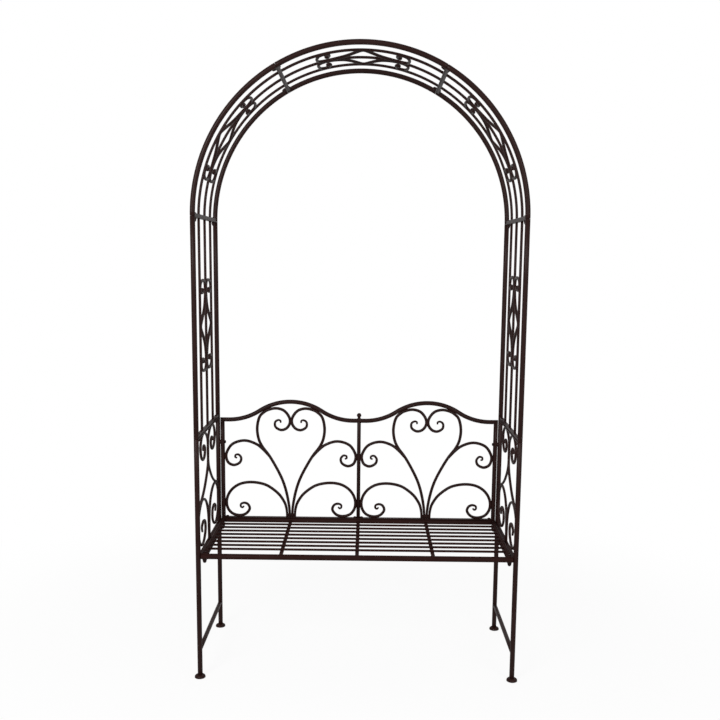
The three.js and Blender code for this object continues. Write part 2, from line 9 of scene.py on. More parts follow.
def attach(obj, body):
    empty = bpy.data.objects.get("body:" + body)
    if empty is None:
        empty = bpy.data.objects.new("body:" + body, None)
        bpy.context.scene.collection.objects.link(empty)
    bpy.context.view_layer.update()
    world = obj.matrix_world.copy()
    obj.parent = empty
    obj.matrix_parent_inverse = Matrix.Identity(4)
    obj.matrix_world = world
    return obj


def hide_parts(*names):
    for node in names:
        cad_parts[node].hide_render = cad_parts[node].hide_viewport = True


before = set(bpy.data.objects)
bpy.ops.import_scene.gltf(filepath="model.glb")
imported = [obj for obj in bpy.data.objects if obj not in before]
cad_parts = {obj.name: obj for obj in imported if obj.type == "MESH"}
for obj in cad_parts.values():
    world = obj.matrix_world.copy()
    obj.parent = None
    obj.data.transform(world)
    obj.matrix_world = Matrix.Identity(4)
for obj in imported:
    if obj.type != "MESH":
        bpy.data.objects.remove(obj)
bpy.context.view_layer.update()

MM = 0.001

# Main frame
ARCH_RADIUS = 535 * MM
HALF_DEPTH = 227.5 * MM
BENCH_HEIGHT = 832 * MM
SPRING_HEIGHT = 1557 * MM
TUBE_RADIUS = 8 * MM
SECTION_ANGLE = math.pi / 3
CLEARANCE = 0.3 * MM
SINK = 1.2 * MM  # how far a welded end runs into what it meets
OVERLAP = 0.6 * MM  # how far bars that are welded side by side run into each other
PAINT_BUILD = 0.6 * MM  # what primer and powder add to a thin bar on each side
TUBE_BUILD = 0.5 * MM  # the same on a tube, whose outermost face stays where it is

# Arch sections
SQUARE_SIDE = 10 * MM
STRIP_WIDTH = 16 * MM
STRIP_THICKNESS = 3.5 * MM
# Thickness and width of the bars that close a section.
END_BARS = {
    "square": (SQUARE_SIDE, SQUARE_SIDE),
    "strip": (STRIP_THICKNESS, STRIP_WIDTH),
}
ROD_RADIUS = 4 * MM
ROD_SPACING = 113.75 * MM
ORNAMENT_RADIUS = 4 * MM
ORNAMENT_BUILD = 1.1 * MM  # paint and hammering
ORNAMENT_LENGTH = 317 * MM
ORNAMENT_TIP = (1.25, 26 * MM)  # share of its thickness at a hammered end, and the length that is hammered
JOINT_BOLT_ACROSS = 185.5 * MM

# Bench sides
FOOT_RADIUS = 18.5 * MM
FOOT_EDGE = 2.5 * MM
FOOT_BEVEL = 0.5 * MM
FOOT_COLLAR = 0.8 * MM  # how far a foot stands out round its post
FOOT_HEIGHT = 10.5 * MM
STRETCHER_RADIUS = 6.5 * MM
STRETCHER_BUILD = 1.1 * MM
STRETCHER_HEIGHT = 98 * MM
LEDGE_HEIGHT = 422 * MM
LEDGE_THICKNESS = 4 * MM
SIDE_SCROLL_RADIUS = 4 * MM
SIDE_SCROLL_TIP = (0.8, 60 * MM)

# Seat
SEAT_END = 525 * MM
SEAT_RAIL_RADIUS = 9.5 * MM
SIDE_RAIL_RADIUS = 8 * MM
SIDE_RAIL_PLACE = SEAT_END - SIDE_RAIL_RADIUS
SEAT_MIDDLE = LEDGE_HEIGHT + CLEARANCE + SIDE_RAIL_RADIUS
SLAT_COUNT = 8
SLAT_RADIUS = 3.5 * MM
SLAT_PITCH = 44.2 * MM
SLAT_RISE = 4.2 * MM
CROSS_BAR_WIDTH = 13 * MM
CROSS_BAR_THICKNESS = 4 * MM
CROSS_BAR_PITCH = 258.5 * MM
SEAT_BOLT_ACROSS = 205 * MM
SEAT_NUT_SHARE = 1.3  # of a joint's cap nut

# Backrest
BACK_TUBE_RADIUS = 7.5 * MM
CENTRE_POST_RADIUS = 6.5 * MM
BACK_STRIP_WIDTH = 16 * MM
BACK_STRIP_THICKNESS = 3.5 * MM
BACK_STRIP_BOTTOM = SEAT_MIDDLE + SEAT_RAIL_RADIUS + CLEARANCE
BACK_STRIP_TOP = BACK_STRIP_BOTTOM + BACK_STRIP_THICKNESS
BACK_BASE = BACK_STRIP_TOP + CLEARANCE
SHOULDER_DROP = 11 * MM
SHOULDER_LENGTH = 24 * MM
SHOULDER_HEIGHT = BENCH_HEIGHT - SHOULDER_DROP
BACK_POST_PLACE = SIDE_RAIL_PLACE
BACK_POST_FACE = BACK_POST_PLACE - BACK_TUBE_RADIUS
HEART_PLACE = (BACK_POST_FACE + CENTRE_POST_RADIUS) / 2
SHOULDER_START = BACK_POST_PLACE - SHOULDER_LENGTH
LOBE_RISE = 70 * MM
VALLEY_LENGTH = 46 * MM
BACK_SCROLL_RADIUS = 4.5 * MM
BACK_SCROLL_BUILD = 1 * MM
BACK_SCROLL_FOOT = (0.8, 90 * MM)  # share of its thickness at the foot, and the length that is slimmer
BACK_SCROLL_TIP = (0.62, 110 * MM)
BALL_RADIUS = 8.6 * MM
BALL_RISE = 20.8 * MM
NECK_RADIUS = 5.2 * MM
NECK_FLARE = 0.6 * MM
NECK_FLARE_HEIGHT = 1.6 * MM
CLIP_HEIGHT_SHARE = 0.772
CLIP_HEIGHT = BACK_BASE + CLIP_HEIGHT_SHARE * (SHOULDER_HEIGHT - BACK_BASE)
CLIP_RADIUS = 6 * MM
CLIP_SPACER_RADIUS = 8 * MM
CLIP_HEAD_HEIGHT = 5 * MM
BASE_BOLT_INSET = 15 * MM
CENTRE_BOLT_OFFSET = 12.5 * MM
BASE_HEAD_RADIUS = 6.2 * MM
BASE_HEAD_HEIGHT = 5.2 * MM

# Bolts
BOLT_RADIUS = 3 * MM
HEAD_RADIUS = 5.5 * MM
HEAD_HEIGHT = 3 * MM
NUT_RADIUS = 6.25 * MM  # to the corners of the hexagon
NUT_HEX_HEIGHT = 6 * MM
NUT_HEIGHT = 13.5 * MM
DOME_RADIUS = 5.4 * MM
WASHER_RADIUS = 9.5 * MM
WASHER_THICKNESS = 1.6 * MM

# Weld beads, each a length and a radius
ROD_BEAD = (12 * MM, 3.2 * MM)
ORNAMENT_BEAD = (18 * MM, 4.2 * MM)
SCROLL_BEAD = (16 * MM, 3.2 * MM)
HEART_FOOT_BEAD = (15 * MM, 3.2 * MM)
END_BAR_BEAD_RADIUS = 2.6 * MM  # this one is as long as its bar is wide

# Edges and ends
BLOCK_BEVEL = 0.6 * MM
BEVEL_FACE_SHARE = 0.02  # a block's faces below this share of its widest face belong to the rounded edges
END_BEVEL_SHARE = 0.08  # of a bar's radius
TIP_DOME_SHARE = 0.6  # height of a rounded tip, of its radius
TIP_DOME_ANGLES = (0, 0.5, 1, 1.4)

# Fineness of the meshes
TUBE_SIDES = 28
RAIL_SIDES = 24
BAR_SIDES = 16
THIN_BAR_SIDES = 14
FOOT_SIDES = 40
HEAD_SIDES = 28
SHANK_SIDES = 20
BEAD_SIDES = 10
BEAD_STEPS = 8
BALL_STEPS = 14
STRAIGHT_STEPS = 4
SEAT_RAIL_STEPS = 6
SLAT_STEPS = 8
BEND_STEPS = 40
TOP_RAIL_STEPS = 80
OUTLINE_STEPS = 8  # between two points of an outline
FAIRING_PASSES = 12
FAIRING_PULLS = (0.5, -0.53)  # towards the middle of the neighbours, then a little further away from it

# Outlines. A row is a share of the reach from a scroll's inner side to its outer side, and a share of the
# height that it fills.
SIDE_CREST_SHARES = (0.62, 0.437)  # the crest of a lower side scroll, where an upper one lies on it
UPPER_SIDE_SCROLL_SHARES = [
    (0.45, 0.852),
    (0.425, 0.882),
    (0.345, 0.886),
    (0.275, 0.848),
    (0.325, 0.79),
    (0.466, 0.77),
    (0.62, 0.805),
    (0.687, 0.895),
    (0.588, 0.972),
    (0.428, 1),
    (0.319, 1),
    (0.13, 0.964),
    (0, 0.897),
    (0, 0.692),
    (0.078, 0.628),
    (0.211, 0.564),
    (0.371, 0.502),
    SIDE_CREST_SHARES,
    (1.03, 0.379),
]
LOWER_SIDE_SCROLL_SHARES = [
    (0, 0),
    (0, 0.05),
    (0.05, 0.25),
    (0.19, 0.36),
    (0.38, 0.418),
    SIDE_CREST_SHARES,
    (0.83, 0.395),
    (0.965, 0.32),
    (1, 0.24),
    (0.95, 0.155),
    (0.83, 0.085),
    (0.66, 0.056),
    (0.46, 0.08),
    (0.335, 0.15),
    (0.37, 0.22),
    (0.53, 0.244),
    (0.675, 0.21),
    (0.64, 0.168),
]
HEART_SHARES = [
    (0, 0),
    (0, 0.03),
    (0.012, 0.106),
    (0.062, 0.245),
    (0.134, 0.362),
    (0.313, 0.564),
    (0.431, 0.682),
    (0.484, 0.764),
    (0.508, 0.87),
    (0.488, 0.953),
    (0.456, 0.987),
    (0.408, 0.996),
    (0.355, 1),
    (0.215, 0.988),
    (0.085, 0.952),
    (0, 0.883),
    (0, 0.833),
    (0.058, 0.792),
    (0.14, 0.786),
    (0.221, 0.823),
    (0.225, 0.866),
    (0.178, 0.878),
    (0.143, 0.868),
    (0.14, 0.853),
]
UPPER_BACK_SCROLL_SHARES = [
    (0.313, 0.564),
    (0.412, 0.645),
    (0.519, 0.724),
    (0.709, 0.796),
    (0.898, 0.774),
    (0.985, 0.694),
    (1, 0.642),
    (0.971, 0.582),
    (0.923, 0.558),
    (0.865, 0.551),
    (0.783, 0.576),
    (0.764, 0.62),
    (0.804, 0.658),
    (0.851, 0.656),
    (0.857, 0.634),
    (0.834, 0.626),
]
LOWER_BACK_SCROLL_SHARES = [
    (0, 0),
    (0, 0.03),
    (0.006, 0.064),
    (0.026, 0.111),
    (0.052, 0.142),
    (0.088, 0.174),
    (0.128, 0.203),
    (0.217, 0.25),
    (0.358, 0.307),
    (0.574, 0.353),
    (0.755, 0.35),
    (0.885, 0.306),
    (0.969, 0.236),
    (1, 0.159),
    (0.98, 0.088),
    (0.909, 0.033),
    (0.785, 0.012),
    (0.682, 0.03),
    (0.62, 0.082),
    (0.647, 0.127),
    (0.707, 0.144),
    (0.762, 0.132),
    (0.766, 0.105),
    (0.74, 0.095),
    (0.718, 0.107),
]
# A row is a share of the way from the middle rod to the outer rod, and one of half the ornament's length.
ORNAMENT_SHARES = [
    (1, 0),
    (1, 0.02),
    (0.22, 0.39),
    (0, 0.67),
    (0, 0.87),
    (0.12, 0.965),
    (0.38, 1),
    (0.7, 0.983),
    (0.93, 0.93),
    (1, 0.85),
    (0.92, 0.766),
    (0.74, 0.73),
    (0.56, 0.737),
    (0.5, 0.77),
    (0.58, 0.797),
]
# How far an ornament sits from the middle of its section, as a share of its length.
ORNAMENT_SHIFT_SHARES = {
    "arch_left_upright": 0,
    "arch_left_curve": -0.013,
    "arch_crown": -0.016,
    "arch_right_curve": 0.052,
    "arch_right_upright": 0.058,
}

HANDS = [("left", -1), ("right", 1)]
ENDS = [("front", -1), ("rear", 1)]
ROWS = (-1, 0, 1)


# Camera, floor and light

IMAGE = 720  # side of the photograph in pixels
FOCAL = 940  # in pixels
OPTICAL_CENTRE_ROW = 402.1
SENSOR_WIDTH = 36  # in millimetres, as Blender wants it
CAMERA_PLACE = Vector((24.3, -3277.2, 1422.4)) * MM
CAMERA_YAW, CAMERA_PITCH, CAMERA_ROLL = (math.radians(a) for a in (-0.35, 8.6, 0.53))
CAMERA_REACH = 50
WORLD_LIGHT = 0.45
FLOOR_WHITE = 0.9
FLOOR_REACH = 12
FLOOR_FADE_START = 0.8
FLOOR_FADE_END = 2.2
FLOOR_GLOW_SHARE = 0.9  # of plain white in what the camera sees of the floor next to the object
LAMP_TARGET = (0, 0, 1.1)
# A row is a lamp's name, place, size and power.
LAMPS = [
    ("key", (-1.7, -3.3, 2.4), 1.6, 100),
    ("fill", (2.0, -3.2, 2.2), 1.6, 45),
    ("rim", (0.4, 2.6, 3.6), 2.0, 15),
]


def make_camera():
    forward = Vector((
        math.sin(CAMERA_YAW) * math.cos(CAMERA_PITCH),
        math.cos(CAMERA_YAW) * math.cos(CAMERA_PITCH),
        -math.sin(CAMERA_PITCH),
    ))
    level = Vector((math.cos(CAMERA_YAW), -math.sin(CAMERA_YAW), 0))
    upright = level.cross(forward)
    right = level * math.cos(CAMERA_ROLL) + upright * math.sin(CAMERA_ROLL)
    up = upright * math.cos(CAMERA_ROLL) - level * math.sin(CAMERA_ROLL)
    data = bpy.data.cameras.new("camera")
    data.sensor_width = SENSOR_WIDTH
    data.lens = SENSOR_WIDTH * FOCAL / IMAGE
    data.shift_y = (OPTICAL_CENTRE_ROW - IMAGE / 2) / IMAGE
    data.clip_end = CAMERA_REACH
    camera = bpy.data.objects.new("camera", data)
    turn = Matrix((right, up, -forward)).transposed().to_4x4()
    camera.matrix_world = Matrix.Translation(CAMERA_PLACE) @ turn
    bpy.context.collection.objects.link(camera)
    bpy.context.scene.camera = camera


def seen_or_mirrored(nodes, links):
    """A value that is 1 for rays from the camera, off gloss and through glass, and 0 for all others."""
    path = nodes.new("ShaderNodeLightPath")
    total = path.outputs["Is Camera Ray"]
    for name in ("Is Glossy Ray", "Is Transmission Ray"):
        most = nodes.new("ShaderNodeMath")
        most.operation = "MAXIMUM"
        links.new(total, most.inputs[0])
        links.new(path.outputs[name], most.inputs[1])
        total = most.outputs[0]
    return total


def make_world():
    """A soft even light from all round, which the camera and gloss see as white."""
    world = bpy.data.worlds.new("studio")
    world.use_nodes = True
    bpy.context.scene.world = world
    nodes, links = world.node_tree.nodes, world.node_tree.links
    nodes.clear()
    light = nodes.new("ShaderNodeBackground")
    light.inputs["Color"].default_value = (1, 1, 1, 1)
    light.inputs["Strength"].default_value = WORLD_LIGHT
    shown = nodes.new("ShaderNodeBackground")
    shown.inputs["Color"].default_value = (1, 1, 1, 1)
    shown.inputs["Strength"].default_value = 1
    mix = nodes.new("ShaderNodeMixShader")
    out = nodes.new("ShaderNodeOutputWorld")
    links.new(seen_or_mirrored(nodes, links), mix.inputs["Fac"])
    links.new(light.outputs[0], mix.inputs[1])
    links.new(shown.outputs[0], mix.inputs[2])
    links.new(mix.outputs[0], out.inputs["Surface"])


def make_floor():
    """A white paper floor that keeps a faint shadow and turns into the white backdrop further off."""
    material = bpy.data.materials.new("floor")
    material.use_nodes = True
    nodes, links = material.node_tree.nodes, material.node_tree.links
    nodes.clear()
    paper = nodes.new("ShaderNodeBsdfDiffuse")
    paper.inputs["Color"].default_value = (FLOOR_WHITE, FLOOR_WHITE, FLOOR_WHITE, 1)
    glow = nodes.new("ShaderNodeEmission")
    glow.inputs["Color"].default_value = (1, 1, 1, 1)
    place = nodes.new("ShaderNodeTexCoord").outputs["Object"]
    distance = nodes.new("ShaderNodeVectorMath")
    distance.operation = "LENGTH"
    links.new(place, distance.inputs[0])
    fade = nodes.new("ShaderNodeMapRange")
    fade.interpolation_type = "SMOOTHSTEP"
    fade.inputs["From Min"].default_value = FLOOR_FADE_START
    fade.inputs["From Max"].default_value = FLOOR_FADE_END
    fade.inputs["To Min"].default_value = FLOOR_GLOW_SHARE
    links.new(distance.outputs["Value"], fade.inputs["Value"])
    share = nodes.new("ShaderNodeMath")
    share.operation = "MULTIPLY"
    links.new(seen_or_mirrored(nodes, links), share.inputs[0])
    links.new(fade.outputs["Result"], share.inputs[1])
    mix = nodes.new("ShaderNodeMixShader")
    out = nodes.new("ShaderNodeOutputMaterial")
    links.new(share.outputs[0], mix.inputs["Fac"])
    links.new(paper.outputs[0], mix.inputs[1])
    links.new(glow.outputs[0], mix.inputs[2])
    links.new(mix.outputs[0], out.inputs["Surface"])
    mesh = bpy.data.meshes.new("floor")
    corners = [(x * FLOOR_REACH, y * FLOOR_REACH, 0) for x, y in ((-1, -1), (1, -1), (1, 1), (-1, 1))]
    mesh.from_pydata(corners, [], [(0, 1, 2, 3)])
    floor = bpy.data.objects.new("floor", mesh)
    floor.data.materials.append(material)
    bpy.context.collection.objects.link(floor)


def make_lamps():
    for name, place, size, power in LAMPS:
        data = bpy.data.lights.new(name, "AREA")
        data.shape = "DISK"
        data.size = size
        data.energy = power
        lamp = bpy.data.objects.new(name, data)
        lamp.location = place
        lamp.rotation_euler = (Vector(LAMP_TARGET) - Vector(place)).to_track_quat("-Z", "Y").to_euler()
        bpy.context.collection.objects.link(lamp)


# Materials

SPECULAR_LEVEL = 0.02
COAT_ROUGHNESS = 0.3
# A noise is its scale, detail and roughness.
PATCH_NOISE = (14, 5, 0.62)
PATCH_RANGE = (0.35, 0.68)  # of the noise, from the dark brown to the light one
FLECK_NOISE = (420, 3, 0.7)
FLECK_RANGE = (0.64, 0.74)
FLECK_SHARE = 0.25
FLECK_LIGHTNESS = 2.2  # of the light brown
SATIN_NOISE = (60, 4, 0.6)
SATIN_RANGE = (-0.08, 0.1)  # round the roughness
PEEL_NOISE = (650, 3, 0.55)
PEEL_STRENGTH = 0.2


def painted_steel(name, dark, light, roughness, gloss, grain):
    """A powder coat: two close browns in soft patches, dust flecks, an uneven satin, a thin gloss over
    them and a fine orange-peel relief in both."""
    material = bpy.data.materials.new(name)
    material.use_nodes = True
    nodes, links = material.node_tree.nodes, material.node_tree.links
    shader = nodes["Principled BSDF"]
    shader.inputs["Specular IOR Level"].default_value = SPECULAR_LEVEL
    shader.inputs["Coat Weight"].default_value = gloss
    shader.inputs["Coat Roughness"].default_value = COAT_ROUGHNESS
    place = nodes.new("ShaderNodeTexCoord").outputs["Object"]

    def noise(scale, detail, rough):
        texture = nodes.new("ShaderNodeTexNoise")
        texture.inputs["Scale"].default_value = scale
        texture.inputs["Detail"].default_value = detail
        texture.inputs["Roughness"].default_value = rough
        links.new(place, texture.inputs["Vector"])
        return texture.outputs["Fac"]

    patches = nodes.new("ShaderNodeValToRGB")
    for stop, position, colour in zip(patches.color_ramp.elements, PATCH_RANGE, (dark, light)):
        stop.position = position
        stop.color = (*colour, 1)
    links.new(noise(*PATCH_NOISE), patches.inputs["Fac"])

    flecks = nodes.new("ShaderNodeMapRange")
    flecks.inputs["From Min"].default_value = FLECK_RANGE[0]
    flecks.inputs["From Max"].default_value = FLECK_RANGE[1]
    flecks.inputs["To Max"].default_value = FLECK_SHARE
    links.new(noise(*FLECK_NOISE), flecks.inputs["Value"])
    dusted = nodes.new("ShaderNodeMix")
    dusted.data_type = "RGBA"
    links.new(flecks.outputs["Result"], dusted.inputs["Factor"])
    links.new(patches.outputs["Color"], dusted.inputs["A"])
    dusted.inputs["B"].default_value = (*[min(1, FLECK_LIGHTNESS * v) for v in light], 1)
    links.new(dusted.outputs["Result"], shader.inputs["Base Color"])

    satin = nodes.new("ShaderNodeMapRange")
    satin.inputs["To Min"].default_value = roughness + SATIN_RANGE[0]
    satin.inputs["To Max"].default_value = roughness + SATIN_RANGE[1]
    links.new(noise(*SATIN_NOISE), satin.inputs["Value"])
    links.new(satin.outputs["Result"], shader.inputs["Roughness"])

    peel = nodes.new("ShaderNodeBump")
    peel.inputs["Strength"].default_value = PEEL_STRENGTH
    peel.inputs["Distance"].default_value = grain
    links.new(noise(*PEEL_NOISE), peel.inputs["Height"])
    links.new(peel.outputs["Normal"], shader.inputs["Normal"])
    links.new(peel.outputs["Normal"], shader.inputs["Coat Normal"])
    return material


# Mesh building. Shapes are made in metres, in the frame of the whole object.

def spline(points):
    """Samples a centripetal Catmull-Rom curve through the points."""
    points = np.array(points, float)
    first = 2 * points[0] - points[1]
    last = 2 * points[-1] - points[-2]
    knots = np.vstack([first, points, last])
    samples = []
    ts = np.linspace(0, 1, OUTLINE_STEPS, endpoint=False)[:, None]
    for i in range(1, len(knots) - 2):
        before, start, end, after = knots[i - 1 : i + 3]
        stretches = ((before, start), (start, end), (end, after))
        d0, d1, d2 = (math.sqrt(np.linalg.norm(b - a)) for a, b in stretches)
        out = ((start - before) / d0 - (end - before) / (d0 + d1) + (end - start) / d1) * d1
        into = ((end - start) / d1 - (after - start) / (d1 + d2) + (after - end) / d2) * d1
        samples.append(
            start
            + ts * out
            + ts**2 * (3 * (end - start) - 2 * out - into)
            + ts**3 * (2 * (start - end) + out + into)
        )
    samples.append(points[-1:])
    return np.vstack(samples)


def faired(path):
    """A path with its small wiggles smoothed out, without drawing its curls together."""
    path = path.copy()
    for _ in range(FAIRING_PASSES):
        for pull in FAIRING_PULLS:
            path[1:-1] += pull * ((path[:-2] + path[2:]) / 2 - path[1:-1])
    return path


def straight(start, end, steps=STRAIGHT_STEPS):
    return np.linspace(np.array(start, float), np.array(end, float), steps + 1)


def path_frames(path):
    """Tangents along a path, and two normals at each point that don't twist round it."""
    tangents = np.gradient(path, axis=0)
    tangents /= np.linalg.norm(tangents, axis=1)[:, None]
    axis = np.eye(3)[np.argmin(np.abs(tangents[0]))]
    normal = np.cross(tangents[0], axis)
    normals = []
    for tangent in tangents:
        normal = normal - tangent * normal.dot(tangent)
        normal /= np.linalg.norm(normal)
        normals.append(normal)
    normals = np.array(normals)
    return tangents, normals, np.cross(tangents, normals)


class Shape:
    """Collects closed shells and makes one piece of them."""

    def __init__(self):
        self.vertices = []
        self.faces = []
        self.smooth = []

    def shell(self, vertices, faces, smooth):
        start = len(self.vertices)
        self.vertices.extend(tuple(v) for v in vertices)
        self.faces.extend(tuple(start + i for i in face) for face in faces)
        self.smooth.extend(smooth)

    def bar(self, path, radius, sides=BAR_SIDES, tips=(None, None), mitre=None):
        """A round bar along a path. `tips` are for rounded ends, near and far: the share of the bar's
        thickness there, and the length over which it changes. `mitre` is the normal of the plane that the
        far end is cut on. Other ends are square and bevelled."""
        tangents, normals, binormals = path_frames(path)
        spans = np.linalg.norm(np.diff(path, axis=0), axis=1)
        walked = np.concatenate([[0], np.cumsum(spans)])
        radii = np.full(len(path), radius)
        for tip, to_end in zip(tips, (walked, walked[-1] - walked)):
            if tip:
                share, length = tip
                radii *= 1 - (1 - share) * np.clip(1 - to_end / length, 0, 1) ** 2
        bevel = END_BEVEL_SHARE * radius
        dome = [(TIP_DOME_SHARE * math.sin(a), math.cos(a)) for a in TIP_DOME_ANGLES]
        if tips[0]:
            rings = [(0, -out * radii[0], wide * radii[0]) for out, wide in reversed(dome)]
        else:
            rings = [(0, 0, radius - bevel), (0, bevel, radius)]
        rings += [(i, 0, radii[i]) for i in range(1, len(path) - 1)]
        last = len(path) - 1
        if tips[1]:
            rings += [(last, out * radii[-1], wide * radii[-1]) for out, wide in dome]
        elif mitre is not None:
            rings.append((last, 0, radius))
        else:
            rings += [(last, -bevel, radius), (last, 0, radius - bevel)]
        angles = 2 * math.pi * np.arange(sides) / sides
        vertices = []
        for i, shift, r in rings:
            centre = path[i] + tangents[i] * shift
            ring = [r * (math.cos(a) * normals[i] + math.sin(a) * binormals[i]) for a in angles]
            if mitre is not None and i == last:
                ring = [v - tangents[i] * v.dot(mitre) / tangents[i].dot(mitre) for v in ring]
            vertices.extend(centre + v for v in ring)
        faces = []
        for i in range(len(rings) - 1):
            for j in range(sides):
                k = (j + 1) % sides
                faces.append((i * sides + j, i * sides + k, (i + 1) * sides + k, (i + 1) * sides + j))
        smooth = [True] * len(faces)
        first = (len(rings) - 1) * sides
        faces.append(tuple(range(sides - 1, -1, -1)))
        faces.append(tuple(first + j for j in range(sides)))
        self.shell(vertices, faces, smooth + [False, False])

    def block(self, size, matrix):
        """A box of that size about the matrix's origin, with rounded edges."""
        mesh = bmesh.new()
        bmesh.ops.create_cube(mesh, size=1)
        bmesh.ops.scale(mesh, vec=Vector(size), verts=mesh.verts)
        edges = list(mesh.edges)
        bmesh.ops.bevel(mesh, geom=edges, offset=BLOCK_BEVEL, segments=2, profile=0.5, affect="EDGES")
        bmesh.ops.transform(mesh, matrix=matrix, verts=mesh.verts)
        mesh.verts.index_update()
        faces = [tuple(v.index for v in face.verts) for face in mesh.faces]
        widest = max(face.calc_area() for face in mesh.faces)
        smooth = [face.calc_area() < widest * BEVEL_FACE_SHARE for face in mesh.faces]
        self.shell([v.co for v in mesh.verts], faces, smooth)
        mesh.free()

    def box(self, low, high):
        low, high = Vector(low), Vector(high)
        self.block(high - low, Matrix.Translation((low + high) / 2))

    def turned(self, profile, matrix, sides, smooth=True):
        """A solid of revolution about Z from (radius, height) pairs, upwards from the axis to the axis."""
        rings = profile[1:-1]
        vertices = [matrix @ Vector((0, 0, profile[0][1]))]
        for radius, height in rings:
            for j in range(sides):
                angle = 2 * math.pi * j / sides
                vertices.append(matrix @ Vector((radius * math.cos(angle), radius * math.sin(angle), height)))
        vertices.append(matrix @ Vector((0, 0, profile[-1][1])))
        faces = []
        top = len(vertices) - 1
        for j in range(sides):
            k = (j + 1) % sides
            faces.append((0, 1 + k, 1 + j))
            for i in range(len(rings) - 1):
                a, b = 1 + i * sides, 1 + (i + 1) * sides
                faces.append((a + j, a + k, b + k, b + j))
            last = 1 + (len(rings) - 1) * sides
            faces.append((last + j, last + k, top))
        self.shell(vertices, faces, [smooth] * len(faces))

    def bead(self, place, along, length, radius):
        """A weld bead with a slight ripple, laid along a direction."""
        turn = Vector(along).normalized().to_track_quat("Z", "Y").to_matrix().to_4x4()
        matrix = Matrix.Translation(Vector(place)) @ turn
        ripple_share, ripples, fullness = 0.1, 5, 0.6
        profile = [(0, -length / 2)]
        for i in range(1, BEAD_STEPS):
            share = i / BEAD_STEPS
            ripple = 1 + ripple_share * math.sin(ripples * math.pi * share)
            thickness = radius * ripple * math.sin(math.pi * share) ** fullness
            profile.append((thickness, length * (share - 0.5)))
        profile.append((0, length / 2))
        self.turned(profile, matrix, BEAD_SIDES)

    def piece(self, name, material, slot, *nodes):
        mesh = bpy.data.meshes.new(name)
        mesh.from_pydata(self.vertices, [], self.faces)
        mesh.polygons.foreach_set("use_smooth", self.smooth)
        mesh.validate()
        mesh.materials.append(material)
        piece = bpy.data.objects.new(name, mesh)
        bpy.context.collection.objects.link(piece)
        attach(piece, "root")
        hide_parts(*nodes)


# Arch sections. A place is given by how far it lies along a section's middle line from its middle, across
# it towards the rear, and outwards from it.

def upright_place(side):
    middle = (SPRING_HEIGHT + BENCH_HEIGHT) / 2
    return lambda along, across, out=0: np.array((side * (ARCH_RADIUS + out), across, middle + along))


def bent_place(turn):
    def place(along, across, out=0):
        angle = along / ARCH_RADIUS - turn
        radius = ARCH_RADIUS + out
        return np.array((-radius * math.sin(angle), across, SPRING_HEIGHT + radius * math.cos(angle)))

    return place


def station(place, along):
    """The matrix that takes X outward, Y to the rear and Z lengthways at a place along a section."""
    origin = Vector(place(along, 0))
    out = (Vector(place(along, 0, 1)) - origin).normalized()
    across = Vector((0, 1, 0))
    lengthways = out.cross(across)
    turn = Matrix((out, across, lengthways)).transposed().to_4x4()
    return Matrix.Translation(origin) @ turn


def section_path(place, length, across, steps, out=0):
    return np.array([place((i / steps - 0.5) * length, across, out) for i in range(steps + 1)])


def ornament_path(place, side, shift):
    """One of an ornament's two bars, from tip to tip, `shift` onward from the middle of its section."""
    bars = ROD_RADIUS + ORNAMENT_RADIUS
    near = bars + CLEARANCE
    far = ROD_SPACING - bars + OVERLAP
    half = ORNAMENT_LENGTH / 2 - ORNAMENT_RADIUS
    mirrored = [(across, -along) for across, along in reversed(ORNAMENT_SHARES[1:])]
    points = []
    for across, along in mirrored + ORNAMENT_SHARES:
        points.append((along * half, side * (near + across * (far - near)), 0))
    path = faired(spline(points))
    return np.array([place(shift + along, across) for along, across, _ in path])


def add_end_bars(panel, place, length, kinds):
    """The square bar or flat strip at each end of a section, and the beads that join it to rods and tubes."""
    reach = 2 * (HALF_DEPTH - TUBE_RADIUS + SINK)
    for way, kind in zip((-1, 1), kinds):
        thickness, width = END_BARS[kind]
        middle = way * (length / 2 - CLEARANCE / 2 - thickness / 2)
        inner = way * (length / 2 - CLEARANCE / 2 - thickness)
        matrix = station(place, middle)
        out = matrix.col[0].xyz
        across = matrix.col[1].xyz
        panel.block((width, reach, thickness), matrix)
        for row in ROWS:
            panel.bead(place(inner, row * ROD_SPACING), across, *ROD_BEAD)
        for side in (-1, 1):
            tube_face = side * (HALF_DEPTH - TUBE_RADIUS)
            panel.bead(place(middle, tube_face), out, width, END_BAR_BEAD_RADIUS)


def add_ornament(panel, place, shift):
    """Two mirrored bent bars round the middle rod, each welded to an outer rod."""
    onward = Vector(place(shift + MM, 0)) - Vector(place(shift, 0))
    tips = (ORNAMENT_TIP, ORNAMENT_TIP)
    for side in (-1, 1):
        path = ornament_path(place, side, shift)
        panel.bar(path, ORNAMENT_RADIUS + ORNAMENT_BUILD, THIN_BAR_SIDES, tips)
        panel.bead(place(shift, side * (ROD_SPACING - ROD_RADIUS)), onward, *ORNAMENT_BEAD)


def make_section(name, place, length, kinds, steps):
    for end, way in ENDS:
        tube = Shape()
        path = section_path(place, length - 2 * CLEARANCE, way * HALF_DEPTH, steps, -TUBE_BUILD)
        tube.bar(path, TUBE_RADIUS + TUBE_BUILD, TUBE_SIDES)
        tube.piece(f"{name}_{end}_pipe", PAINT, "frame_paint", f"{name}_{end}_tube")
    panel = Shape()
    add_end_bars(panel, place, length, kinds)
    for row in ROWS:
        path = section_path(place, length - STRIP_THICKNESS, row * ROD_SPACING, steps)
        panel.bar(path, ROD_RADIUS + PAINT_BUILD)
    add_ornament(panel, place, ORNAMENT_LENGTH * ORNAMENT_SHIFT_SHARES[name])
    panel.piece(f"{name}_grille", PAINT, "frame_paint", f"{name}_panel")


